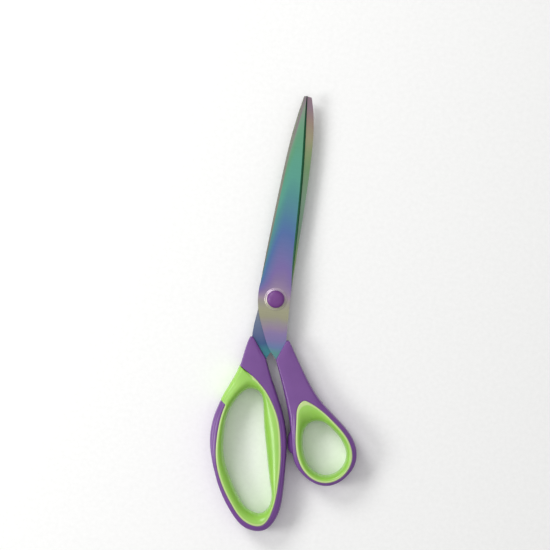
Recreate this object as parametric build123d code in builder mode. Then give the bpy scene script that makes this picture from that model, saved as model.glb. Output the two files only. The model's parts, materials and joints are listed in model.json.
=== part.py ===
"""Dressmaking shears, closed, lying flat with the blades along +Y.

Two coated steel blades cross on a shoulder screw. Each blade's tang runs into a moulded handle: the thumb
blade, which lies on top, into the small bow, and the finger blade into the large one. Each bow is lined
with a soft grip, and plastic caps cover the screw's head and its nut. Outlines are drawn about the pivot,
in millimetres, as seen from above.
"""

import os
from math import atan2, cos, hypot, sin

from build123d import *

os.makedirs("parts", exist_ok=True)

# Driving dimensions
PIVOT_X, PIVOT_Y = -18.1, 7.7  # the pivot, from the middle of the shears' outline
HALF_DEPTH = 7.5  # half the depth of the hard bows
GRIP_PROUD = 0.25  # how far a soft grip stands above the hard handle
RUB_HEIGHT = HALF_DEPTH + GRIP_PROUD  # height of the plane the blades rub in
RUB_GAP = 0.05  # from that plane to each blade's inner face
BLADE_THICK = 2.8
TIP_THICK = 1.5
BLADE_ROOT = 8.0  # where the taper begins, above the pivot
TIP_Y = 119.8
EDGE_LAND = 0.25  # the unground strip along the cutting edge
BACK_DROP = 0.8  # height of the bevel along a blade's back
HOLLOW_RADIUS = 90.0
HOLLOW_ROOT, HOLLOW_TIP = 0.22, 0.03  # depth of the hollow in a blade's inner face at its two ends
HOLLOW_START = BLADE_ROOT + 8.0
HOLLOW_SHIFT = -1.2  # towards the blade's back
SHOULDER_R = 3.0
RUNNING_CLEARANCE = 0.05
SHOULDER_FLATS = 4.6  # across the flats that keep the screw from turning in the finger blade
SHOULDER_PLAY = 0.02  # between the front washer and the blade that turns under it
THREAD_R = 2.0
HEAD_R, HEAD_HIGH, HEAD_CHAMFER = 4.2, 1.6, 0.3
SLOT_WIDE, SLOT_DEEP = 1.1, 0.8
WASHER_R, WASHER_THICK, WASHER_EDGE = 6.7, 0.45, 0.15
WASHER_HOLE_FIT = 0.1
CAP_R, CAP_HIGH, CAP_ROUND = 5.1, 2.7, 1.0
CAP_FIT = 0.05
NUT_FLATS, NUT_HIGH = 7.0, 1.7
NUT_CORNER_ROOM = 4.1  # radius of the hollow in the rear cap
SPRING_R, SPRING_THICK, SPRING_SPLIT = 3.6, 0.6, 0.5
RIM_LIP = 0.9
LOOP_PAST_FACE = 0.5  # how far an opening's cutter reaches past the hard handle's faces
OUTER_ROUND = 1.1
CORE_HALF = 4.5  # half the depth of the finger handle's core where the grip wraps all round it

TOP_FACE = RUB_GAP + BLADE_THICK  # a blade's outer face, from the rubbing plane

# Blades above the root, each seen on its outer face with the cutting edge on the right: the back from the
# root to the tip, then the edge from the tip to the root, with how far a bevel reaches in from each point
THUMB_BACK = [
    (-10.4, BLADE_ROOT), (-9.8, 28), (-8.8, 54), (-7.5, 80), (-5.7, 101), (-4.0, 112.5), (-2.8, 119.3),
]
THUMB_EDGE = [(-0.9, TIP_Y), (0.6, 107.5), (2.4, 92), (4.4, 70), (5.9, 48), (7.1, 25), (8.0, BLADE_ROOT)]
FINGER_BACK = [
    (-8.2, BLADE_ROOT), (-7.9, 28), (-7.9, 54), (-7.3, 80), (-5.8, 101), (-3.8, 112.0), (-1.7, 119.3),
]
FINGER_EDGE = [(1.5, TIP_Y), (2.6, 107.5), (4.0, 92), (5.8, 70), (7.0, 48), (8.0, 25), (9.4, BLADE_ROOT)]
BACK_BEVEL = [0.1, 0.8, 1.3, 1.4, 1.3, 1.0, 0.5]
EDGE_BEVEL = [0.5, 1.1, 1.35, 1.35, 1.35, 1.2, 0.1]

# Tangs below the root, seen from above and clockwise from the root's right end
THUMB_TANG_RIGHT = [
    (8.0, BLADE_ROOT), (8.6, -4), (9.4, -16), (10.2, -24), (13.4, -33), (17.5, -42), (21.5, -50),
]
THUMB_TANG_LEFT = [
    (18.0, -52), (11.5, -43), (5.9, -34.6), (2.1, -30.8), (-3.8, -20.5), (-8.6, -9), (-10.4, BLADE_ROOT),
]
FINGER_TANG_RIGHT = [
    (8.2, BLADE_ROOT), (8.3, -7), (6.4, -20), (2.1, -30.8), (0.1, -35.4), (1.4, -42), (4.4, -49),
]
FINGER_TANG_LEFT = [(1.4, -50.5), (-3.8, -39), (-8.6, -30), (-10.2, -21), (-9.5, -10), (-9.4, BLADE_ROOT)]
TANG_HOLE_R = 1.6
THUMB_TANG_HOLES = [(12.0, -37.0), (16.6, -45.6)]
FINGER_TANG_HOLES = [(-4.4, -32.5), (-0.8, -40.5)]

# Handles, from the top corner round the bow to the corner beside the other handle
FINGER_OUTLINE = [
    (-10.8, -22.0), (-12.9, -31.0), (-14.4, -41.5), (-20.5, -58.5), (-24.6, -73), (-24.7, -87),
    (-20.3, -102), (-14.0, -115.2), (-6.0, -126.2), (4.5, -134.4), (14.8, -133.9), (21.0, -125.5),
    (22.5, -112), (21.5, -97), (19.9, -82), (16.4, -68.7), (9.0, -53), (0.1, -35),
]
THUMB_OUTLINE = [
    (10.7, -20.9), (21.9, -37.7), (34.9, -53.6), (48.6, -64.4), (57.8, -73.5), (61.4, -83.6),
    (57.3, -95.2), (46.0, -102.6), (33.5, -99.3), (25.8, -91.5), (22.5, -81), (19.2, -68.8), (14.9, -56.6),
    (10.1, -44.9), (5.5, -34.6),
]
NOSE_ROUND = 1.2

# Grips: where each lining meets the hard handle, and its narrowest loop, point for point
FINGER_SEAM = [
    (-5.2, -47.4), (1.4, -52.1), (7.3, -59.2), (12.6, -68.8), (15.9, -80), (18.1, -94), (18.7, -106),
    (17.8, -121), (12.6, -131.2), (4.0, -130.6), (-5.5, -122.4), (-13.8, -110.6), (-19.2, -97.5),
    (-20.9, -82), (-19.7, -68), (-15.8, -57.0), (-11.2, -50.4),
]
FINGER_LOOP = [
    (-3.5, -53.8), (0.9, -56.4), (2.9, -62.5), (5.0, -73), (8.2, -85.3), (11.6, -98), (14.2, -107),
    (16.1, -117.5), (12.0, -124.2), (5.2, -123.9), (-2.0, -118.2), (-8.6, -108.2), (-14.3, -97.5),
    (-17.0, -84), (-16.9, -71), (-13.2, -61.0), (-8.6, -55.0),
]
THUMB_SEAM = [
    (27.0, -55.4), (34.6, -58.4), (45.4, -65.4), (54.3, -73.4), (58.6, -83.5), (55.4, -94.4),
    (45.4, -100.6), (34.6, -97.8), (27.6, -89.2), (24.4, -78), (22.9, -65.7), (23.4, -58.0),
]
THUMB_LOOP = [
    (32.4, -67.2), (37.6, -66.0), (44.6, -69.3), (51.2, -75.2), (55.1, -83.5), (53.0, -91.6),
    (45.3, -96.4), (37.6, -94.8), (31.8, -88.4), (29.0, -80), (28.6, -74), (29.7, -69.9),
]

# The stretch of the finger handle that the grip wraps all round, and the hard core inside it
WRAP_TOP_SEAM = [(-18.0, -39.2), (-14.2, -41.4), (-8.6, -44.6), (-1.8, -49.2)]
WRAP_LOW_SEAM = [(-17.0, -66.0), (-19.4, -64.6), (-28.0, -59.2)]
WRAP_FAR_X = -32.0
CORE_OUTER = [(-11.6, -38.5), (-15.2, -48.6), (-17.6, -54.6), (-19.7, -59.8), (-21.6, -67)]
CORE_INNER = [(-19.5, -67), (-15.8, -57.0), (-11.2, -50.4), (-6.0, -43.0)]
STOP_LUG = [(25.0, -73.5), (20.4, -75.0), (20.0, -79.0), (20.6, -83.5), (22.5, -86.5), (26.0, -87.0)]
STOP_HALF_DEPTH = 4.4

# Half depth of a handle along its length, from the nose to the far end of the large bow
NOSE_Y, NOSE_HALF = -20.0, 4.4
SHANK_Y, SHANK_HALF = -45.0, 5.6
FLAT_START_Y, FLAT_END_Y = -78.0, -116.0
END_Y, END_HALF = -139.0, 6.4
NOSE_SLOPE, END_SLOPE = 0.02, -0.12  # change of the half depth per millimetre at the profile's two ends
CUT_DEPTH = 20.0  # more than any handle's half depth
SIDE_REACH = 100.0  # more than a handle reaches to either side of the pivot
UPRIGHT = 0.5  # an edge whose direction has more Z than this runs from face to face
PAST_FACE = 1.0  # how far a hole's cutter reaches past the blade's outer face

ABOVE = Plane((PIVOT_X, PIVOT_Y, RUB_HEIGHT))
BELOW = Plane(ABOVE.origin, x_dir=(-1, 0, 0), z_dir=(0, 0, -1))


def level(height):
    """The plane at a height above the rubbing plane, centred on the pivot."""
    return ABOVE.offset(height)


def moved_in(line, other, insets):
    """Each point of a blade's outline moved straight across the blade towards its other side."""
    side = 1 if other[0][0] + other[-1][0] > line[0][0] + line[-1][0] else -1
    return [(x + side * inset, y) for (x, y), inset in zip(line, insets)]


def lerp(start, end, share):
    return (start[0] + (end[0] - start[0]) * share, start[1] + (end[1] - start[1]) * share)


def blade_section(plane, back, edge):
    """A blade's outline at one level, as a face on a plane through its root."""
    with BuildSketch(plane) as section:
        with BuildLine():
            back_curve = Spline(*[(x, y - BLADE_ROOT) for x, y in back])
            edge_curve = Spline(*[(x, y - BLADE_ROOT) for x, y in edge])
            Line(back_curve @ 1, edge_curve @ 0)
            Line(edge_curve @ 1, back_curve @ 0)
        make_face()
    return section.sketch


def tapered_plane(frame, root_height, tip_height):
    """A plane across the blade that runs from one height at the root to another at the tip."""
    slope = atan2(root_height - tip_height, TIP_Y - BLADE_ROOT)
    origin = frame.origin + frame.y_dir * BLADE_ROOT + frame.z_dir * root_height
    normal = frame.z_dir * cos(slope) + frame.y_dir * sin(slope)
    return Plane(origin, x_dir=frame.x_dir, z_dir=normal)


def blade_above_root(frame, back_line, edge_line):
    """The tapered and bevelled part of a blade, on the rubbing plane's side that the frame's Z points to."""
    root_top, tip_top = TOP_FACE, RUB_GAP + TIP_THICK
    land = RUB_GAP + EDGE_LAND
    edge_top = moved_in(edge_line, back_line, EDGE_BEVEL)
    share = (root_top - BACK_DROP - land) / (root_top - land)
    edge_shoulder = [lerp(low, high, share) for low, high in zip(edge_line, edge_top)]
    back_top = moved_in(back_line, edge_line, BACK_BEVEL)
    tip_drop = BACK_DROP * TIP_THICK / BLADE_THICK
    levels = [
        (tapered_plane(frame, RUB_GAP, RUB_GAP), back_line, edge_line),
        (tapered_plane(frame, land, land), back_line, edge_line),
        (tapered_plane(frame, root_top - BACK_DROP, tip_top - tip_drop), back_line, edge_shoulder),
        (tapered_plane(frame, root_top, tip_top), back_top, edge_top),
    ]
    with BuildPart() as blade:
        for plane, back, edge in levels:
            add(blade_section(plane, back, edge))
        loft(ruled=True)
    return blade.part


def hollow_grind(frame):
    """A long shallow cylinder that hollows a blade's inner face and leaves a strip along each side."""
    slope = atan2(HOLLOW_ROOT - HOLLOW_TIP, TIP_Y - HOLLOW_START)
    start = frame.origin + frame.y_dir * HOLLOW_START + frame.x_dir * HOLLOW_SHIFT
    axis = frame.y_dir * cos(slope) - frame.z_dir * sin(slope)
    centre = start + frame.z_dir * (RUB_GAP + HOLLOW_ROOT - HOLLOW_RADIUS)
    with BuildPart() as hollow:
        with BuildSketch(Plane(centre, x_dir=frame.x_dir, z_dir=axis)):
            Circle(HOLLOW_RADIUS)
        extrude(amount=TIP_Y)
    return hollow.part


def tang(bottom, top, right, left, holes):
    """A blade's flat part below the root, between two heights, with holes that lock it in its handle."""
    with BuildPart() as plate:
        with BuildSketch(level(bottom)):
            with BuildLine():
                right_curve = Spline(*right)
                left_curve = Spline(*left)
                Line(right_curve @ 1, left_curve @ 0)
                Line(left_curve @ 1, right_curve @ 0)
            make_face()
            with Locations(*holes):
                Circle(TANG_HOLE_R, mode=Mode.SUBTRACT)
        extrude(amount=top - bottom)
    return plate.part


def side_profile(grow):
    """The handles' depth along their length, to intersect with an outline drawn from above."""
    with BuildPart() as envelope:
        with BuildSketch(Plane(ABOVE.origin, x_dir=(0, 1, 0), z_dir=(1, 0, 0))):
            with BuildLine():
                flat = HALF_DEPTH + grow
                rise = Spline(
                    (NOSE_Y, NOSE_HALF + grow), (SHANK_Y, SHANK_HALF + grow), (FLAT_START_Y, flat),
                    tangents=[(-1, NOSE_SLOPE), (-1, 0)],
                )
                Line(rise @ 1, (FLAT_END_Y, flat))
                Spline((FLAT_END_Y, flat), (END_Y, END_HALF + grow), tangents=[(-1, 0), (-1, END_SLOPE)])
                Line((END_Y, END_HALF + grow), (END_Y, 0))
                Line((END_Y, 0), (NOSE_Y, 0))
                Line((NOSE_Y, 0), rise @ 0)
            make_face()
            mirror(about=Plane.XZ)
        extrude(amount=SIDE_REACH, both=True)
    return envelope.part


def grown(outline, amount):
    """An anticlockwise outline with each point moved outwards by an amount."""
    moved = []
    for before, (x, y), after in zip(outline[:1] + outline, outline, outline[1:] + outline[-1:]):
        run_x, run_y = after[0] - before[0], after[1] - before[1]
        share = amount / hypot(run_x, run_y)
        moved.append((x + run_y * share, y - run_x * share))
    return moved


def handle_blank(outline, grow=0.0):
    """A whole handle before its grip, tang and recesses are taken out, with its outer edges rounded."""
    with BuildPart() as blank:
        with BuildSketch(level(-CUT_DEPTH)):
            with BuildLine():
                around = Spline(*grown(outline, grow))
                Line(around @ 1, around @ 0)
            make_face()
            fillet(vertices(), NOSE_ROUND)
        extrude(amount=2 * CUT_DEPTH)
        add(side_profile(grow), mode=Mode.INTERSECT)
        rim = blank.edges().filter_by(lambda e: abs(e.tangent_at(0.5).Z) < UPRIGHT)
        fillet(rim, OUTER_ROUND)
    return blank.part


def loop_cutter(seam, loop):
    """What a grip's opening removes: widest at the two faces and narrowest halfway through."""
    rim = [lerp(s, w, RIM_LIP / hypot(w[0] - s[0], w[1] - s[1])) for s, w in zip(seam, loop)]
    reach = HALF_DEPTH + LOOP_PAST_FACE
    with BuildPart() as cutter:
        for height, points in ((reach, rim), (0, loop), (-reach, rim)):
            with BuildSketch(level(height)):
                with BuildLine():
                    Spline(*points, periodic=True)
                make_face()
        loft()
    return cutter.part


def lining(seam):
    """The block that fills a handle's opening, before its own opening is cut."""
    with BuildPart() as block:
        with BuildSketch(level(-CUT_DEPTH)):
            with BuildLine():
                Spline(*seam, periodic=True)
            make_face()
        extrude(amount=2 * CUT_DEPTH)
        add(side_profile(GRIP_PROUD), mode=Mode.INTERSECT)
    return block.part


def wrap_zone():
    """The stretch of the finger handle that the grip covers on every side."""
    with BuildPart() as zone:
        with BuildSketch(level(-CUT_DEPTH)):
            with BuildLine():
                top = Spline(*WRAP_TOP_SEAM)
                low = Spline(*WRAP_LOW_SEAM)
                Line(top @ 1, low @ 0)
                low_far = (WRAP_FAR_X, WRAP_LOW_SEAM[-1][1])
                top_far = (WRAP_FAR_X, WRAP_TOP_SEAM[0][1])
                Polyline(low @ 1, low_far, top_far, top @ 0)
            make_face()
        extrude(amount=2 * CUT_DEPTH)
    return zone.part


# Blades
with BuildPart() as thumb_blade:
    add(blade_above_root(ABOVE, THUMB_BACK, THUMB_EDGE))
    add(tang(RUB_GAP, TOP_FACE, THUMB_TANG_RIGHT, THUMB_TANG_LEFT, THUMB_TANG_HOLES))
    add(hollow_grind(ABOVE), mode=Mode.SUBTRACT)
    with BuildSketch(level(0)):
        Circle(SHOULDER_R + RUNNING_CLEARANCE)
    extrude(amount=TOP_FACE + PAST_FACE, mode=Mode.SUBTRACT)

with BuildPart() as finger_blade:
    add(blade_above_root(BELOW, FINGER_BACK, FINGER_EDGE))
    add(tang(-TOP_FACE, -RUB_GAP, FINGER_TANG_RIGHT, FINGER_TANG_LEFT, FINGER_TANG_HOLES))
    add(hollow_grind(BELOW), mode=Mode.SUBTRACT)
    with BuildSketch(level(0)):
        Circle(SHOULDER_R)
        Rectangle(2 * SHOULDER_R, SHOULDER_FLATS, mode=Mode.INTERSECT)
    extrude(amount=-TOP_FACE - PAST_FACE, mode=Mode.SUBTRACT)

# Handles
with BuildPart() as thumb_handle:
    add(handle_blank(THUMB_OUTLINE))
    with BuildSketch(level(-STOP_HALF_DEPTH)):
        with BuildLine():
            lug = Spline(*STOP_LUG)
            Line(lug @ 1, lug @ 0)
        make_face()
    extrude(amount=2 * STOP_HALF_DEPTH)
    add(lining(THUMB_SEAM), mode=Mode.SUBTRACT)
    add(thumb_blade.part, mode=Mode.SUBTRACT)

with BuildPart() as finger_handle:
    add(handle_blank(FINGER_OUTLINE))
    add(wrap_zone(), mode=Mode.SUBTRACT)
    with BuildSketch(level(-CORE_HALF)):
        with BuildLine():
            outer = Spline(*CORE_OUTER)
            inner = Spline(*CORE_INNER)
            Line(outer @ 1, inner @ 0)
            Line(inner @ 1, outer @ 0)
        make_face()
    extrude(amount=2 * CORE_HALF)
    add(lining(FINGER_SEAM), mode=Mode.SUBTRACT)
    add(finger_blade.part, mode=Mode.SUBTRACT)

# Soft grips
with BuildPart() as thumb_grip:
    add(lining(THUMB_SEAM))
    add(loop_cutter(THUMB_SEAM, THUMB_LOOP), mode=Mode.SUBTRACT)

with BuildPart() as finger_grip:
    add(handle_blank(FINGER_OUTLINE, GRIP_PROUD))
    add(wrap_zone(), mode=Mode.INTERSECT)
    add(lining(FINGER_SEAM))
    add(loop_cutter(FINGER_SEAM, FINGER_LOOP), mode=Mode.SUBTRACT)
    add(finger_handle.part, mode=Mode.SUBTRACT)

# Pivot: on the front a washer, the screw's head and its cap, and on the back a washer, a split spring
# washer, the nut and its cap
FRONT_SEAT = TOP_FACE + SHOULDER_PLAY + WASHER_THICK
SPRING_SEAT = TOP_FACE + WASHER_THICK
NUT_SEAT = SPRING_SEAT + SPRING_THICK
with BuildPart() as pivot_screw:
    with BuildSketch(level(FRONT_SEAT)):
        Circle(HEAD_R)
    extrude(amount=HEAD_HIGH)
    chamfer(pivot_screw.faces().sort_by(Axis.Z)[-1].edges(), HEAD_CHAMFER)
    with BuildSketch(level(FRONT_SEAT + HEAD_HIGH)):
        Rectangle(2 * HEAD_R, SLOT_WIDE)
    extrude(amount=-SLOT_DEEP, mode=Mode.SUBTRACT)
    with BuildSketch(level(-RUB_GAP)):
        Circle(SHOULDER_R)
    extrude(amount=FRONT_SEAT + RUB_GAP)
    with BuildSketch(level(-TOP_FACE)):
        Circle(SHOULDER_R)
        Rectangle(2 * SHOULDER_R, SHOULDER_FLATS, mode=Mode.INTERSECT)
    extrude(amount=BLADE_THICK)
    with BuildSketch(level(-TOP_FACE)):
        Circle(THREAD_R)
    extrude(amount=TOP_FACE - NUT_SEAT - NUT_HIGH)

with BuildPart() as front_washer:
    with BuildSketch(level(TOP_FACE + SHOULDER_PLAY)):
        Circle(WASHER_R)
        Circle(SHOULDER_R + WASHER_HOLE_FIT, mode=Mode.SUBTRACT)
    extrude(amount=WASHER_THICK)
    chamfer(front_washer.edges().group_by(Axis.Z)[-1].sort_by(SortBy.LENGTH)[-1], WASHER_EDGE)

with BuildPart() as rear_washer:
    with BuildSketch(level(-TOP_FACE)):
        Circle(WASHER_R)
        Circle(THREAD_R + WASHER_HOLE_FIT, mode=Mode.SUBTRACT)
    extrude(amount=-WASHER_THICK)
    chamfer(rear_washer.edges().group_by(Axis.Z)[0].sort_by(SortBy.LENGTH)[-1], WASHER_EDGE)

with BuildPart() as spring_washer:
    with BuildSketch(level(-SPRING_SEAT)):
        Circle(SPRING_R)
        Circle(THREAD_R + WASHER_HOLE_FIT, mode=Mode.SUBTRACT)
        with Locations((SPRING_R, 0)):
            Rectangle(2 * SPRING_R, SPRING_SPLIT, mode=Mode.SUBTRACT)
    extrude(amount=-SPRING_THICK)

with BuildPart() as pivot_nut:
    with BuildSketch(level(-NUT_SEAT)):
        RegularPolygon(NUT_FLATS / 2, 6, major_radius=False)
        Circle(THREAD_R, mode=Mode.SUBTRACT)
    extrude(amount=-NUT_HIGH)

with BuildPart() as front_cap:
    with BuildSketch(level(FRONT_SEAT)):
        Circle(CAP_R)
    extrude(amount=CAP_HIGH)
    fillet(front_cap.faces().sort_by(Axis.Z)[-1].edges(), CAP_ROUND)
    with BuildSketch(level(FRONT_SEAT)):
        Circle(HEAD_R + CAP_FIT)
    extrude(amount=HEAD_HIGH + CAP_FIT, mode=Mode.SUBTRACT)

with BuildPart() as rear_cap:
    with BuildSketch(level(-SPRING_SEAT)):
        Circle(CAP_R)
    extrude(amount=-CAP_HIGH - SPRING_THICK)
    fillet(rear_cap.faces().sort_by(Axis.Z)[0].edges(), CAP_ROUND)
    with BuildSketch(level(-SPRING_SEAT)):
        Circle(NUT_CORNER_ROOM)
    extrude(amount=-SPRING_THICK - NUT_HIGH - CAP_FIT, mode=Mode.SUBTRACT)

pieces = {
    "thumb_blade": thumb_blade,
    "finger_blade": finger_blade,
    "thumb_handle": thumb_handle,
    "finger_handle": finger_handle,
    "thumb_grip": thumb_grip,
    "finger_grip": finger_grip,
    "pivot_screw": pivot_screw,
    "front_washer": front_washer,
    "rear_washer": rear_washer,
    "spring_washer": spring_washer,
    "pivot_nut": pivot_nut,
    "front_cap": front_cap,
    "rear_cap": rear_cap,
}
for name, piece in pieces.items():
    piece.part.label = name
    export_step(piece.part, f"parts/{name}.step")
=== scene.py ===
"""Looks for the dressmaking shears: coated blades, moulded handles, soft grips and the capped pivot.

The blades, the screw, the spring washer and the nut are the frame's own nodes with better materials. The
handles and the grips are built here as meshes, from outlines that are cut out of the frame's nodes. The caps
and the flat washers are turned from profiles that fit the frame's boxes. Lengths are in metres. A handle is a
ring of columns: each column is one section that runs from a point on the opening's seam, or on a spine along
the handle's nose, to the outer outline.
"""

import json
from math import cos, pi, radians, sin

import bmesh
import bpy
import numpy as np
from mathutils import Matrix, Vector
from mathutils.bvhtree import BVHTree
from mathutils.geometry import tessellate_polygon


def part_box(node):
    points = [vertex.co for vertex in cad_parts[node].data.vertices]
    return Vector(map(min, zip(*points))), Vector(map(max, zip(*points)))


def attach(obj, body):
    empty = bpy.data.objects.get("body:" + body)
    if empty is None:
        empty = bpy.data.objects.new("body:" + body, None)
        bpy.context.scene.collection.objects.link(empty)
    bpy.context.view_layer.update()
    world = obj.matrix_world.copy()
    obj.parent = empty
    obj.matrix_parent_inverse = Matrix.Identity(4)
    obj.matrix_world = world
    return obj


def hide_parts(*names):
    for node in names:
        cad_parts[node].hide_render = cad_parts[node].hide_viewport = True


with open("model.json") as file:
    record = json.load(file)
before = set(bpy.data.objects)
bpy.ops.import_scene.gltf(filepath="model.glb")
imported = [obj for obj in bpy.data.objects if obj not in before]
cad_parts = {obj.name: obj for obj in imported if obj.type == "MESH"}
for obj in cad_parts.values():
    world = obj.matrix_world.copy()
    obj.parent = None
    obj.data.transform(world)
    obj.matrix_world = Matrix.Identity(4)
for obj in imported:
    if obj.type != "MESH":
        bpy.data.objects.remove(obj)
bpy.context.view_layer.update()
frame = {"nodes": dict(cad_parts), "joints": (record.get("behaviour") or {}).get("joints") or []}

MM = 0.001
PIVOT = Vector(frame["joints"][0]["pos_m"])
AXIS = np.array([PIVOT.x, PIVOT.y])
MIDDLE_Z = PIVOT.z
FINGER, THUMB = "finger_side", "thumb_side"
LIP = 0.9 * MM  # from a grip's seam to the rim where its opening starts
EVEN_STEP = 0.15 * MM  # between the points of a softened outline


def from_pivot(x, y):
    """A point given in millimetres from the pivot, as seen from above."""
    return AXIS + np.array([x, y]) * MM


# ---------------------------------------------------------------- reading the frame

def slices(node, height):
    """The closed outlines where a level plane cuts a CAD node, longest first, as arrays of x and y."""
    bm = bmesh.new()
    bm.from_mesh(frame["nodes"][node].data)
    bmesh.ops.remove_doubles(bm, verts=bm.verts, dist=1e-7)
    cut = bmesh.ops.bisect_plane(
        bm, geom=bm.verts[:] + bm.edges[:] + bm.faces[:], dist=1e-8,
        plane_co=(0, 0, height), plane_no=(0, 0, 1), clear_inner=True, clear_outer=True,
    )
    links = {}
    for edge in (g for g in cut["geom_cut"] if isinstance(g, bmesh.types.BMEdge)):
        a, b = edge.verts
        links.setdefault(a, []).append(b)
        links.setdefault(b, []).append(a)
    loops, left = [], set(links)
    for start in list(links):
        if start not in left:
            continue
        left.discard(start)
        path = [start]
        while True:
            onward = [v for v in links[path[-1]] if v in left]
            if not onward:
                break
            left.discard(onward[0])
            path.append(onward[0])
        loops.append(np.array([(v.co.x, v.co.y) for v in path]))
    bm.free()
    return sorted(loops, key=lambda loop: lengths(loop)[-1], reverse=True)


def lengths(loop):
    """Distance along a closed outline to each of its points, and back to the first."""
    steps = np.linalg.norm(np.roll(loop, -1, 0) - loop, axis=1)
    return np.concatenate([[0], np.cumsum(steps)])


def at_length(loop, where):
    """Points at given distances along a closed outline."""
    along = lengths(loop)
    closed = np.vstack([loop, loop[:1]])
    where = np.mod(where, along[-1])
    return np.column_stack([np.interp(where, along, closed[:, i]) for i in (0, 1)])


def polar(loops, centre, angles, far=True):
    """How far from a centre the outlines lie at each angle: the farthest crossing, or the nearest."""
    starts = np.vstack(loops) - centre
    ends = np.vstack([np.roll(loop, -1, 0) for loop in loops]) - centre
    run = ends - starts
    reach = np.full(len(angles), np.nan)
    for i, angle in enumerate(angles):
        dx, dy = cos(angle), sin(angle)
        facing = dx * run[:, 1] - dy * run[:, 0]
        with np.errstate(divide="ignore", invalid="ignore"):
            t = (starts[:, 0] * run[:, 1] - starts[:, 1] * run[:, 0]) / facing
            u = (starts[:, 0] * dy - starts[:, 1] * dx) / facing
        hits = t[(u >= -1e-6) & (u <= 1 + 1e-6) & (t > 0)]
        if len(hits):
            reach[i] = hits.max() if far else hits.min()
    return reach


def around(centre, reach, angles):
    return centre + np.column_stack([np.cos(angles), np.sin(angles)]) * reach[:, None]


def depth_profile(nodes):
    """Half the depth of the given nodes along Y, read from above, as two arrays for interpolation."""
    low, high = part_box(nodes[0])
    trees = []
    for node in nodes:
        mesh = frame["nodes"][node].data
        verts = [v.co.copy() for v in mesh.vertices]
        trees.append(BVHTree.FromPolygons(verts, [tuple(p.vertices) for p in mesh.polygons]))
    ys = np.linspace(low.y + 0.2 * MM, high.y - 0.2 * MM, 90)
    tops = []
    for y in ys:
        hits = [
            tree.ray_cast(Vector((x, y, 1)), Vector((0, 0, -1)))[0]
            for tree in trees for x in np.linspace(low.x, high.x, 60)
        ]
        tops.append(max(hit.z for hit in hits if hit) - MIDDLE_Z)
    return ys, np.array(tops)


# ---------------------------------------------------------------- columns of a handle

def smooth_round(values, width):
    """A periodic list smoothed by a bell curve, width samples wide."""
    spread = np.arange(-3 * width, 3 * width + 1)
    bell = np.exp(-0.5 * (spread / width) ** 2)
    padded = np.concatenate([values[-3 * width:], values, values[:3 * width]])
    return np.convolve(padded, bell / bell.sum(), mode="valid")


def rounded(loop, spread):
    """A closed outline as evenly spaced points, with corners under about the given size softened."""
    whole = lengths(loop)[-1]
    count = int(whole / EVEN_STEP)
    even = at_length(loop, np.linspace(0, whole, count, endpoint=False))
    width = max(1, int(spread / EVEN_STEP))
    return np.column_stack([smooth_round(even[:, i], width) for i in (0, 1)])


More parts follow.
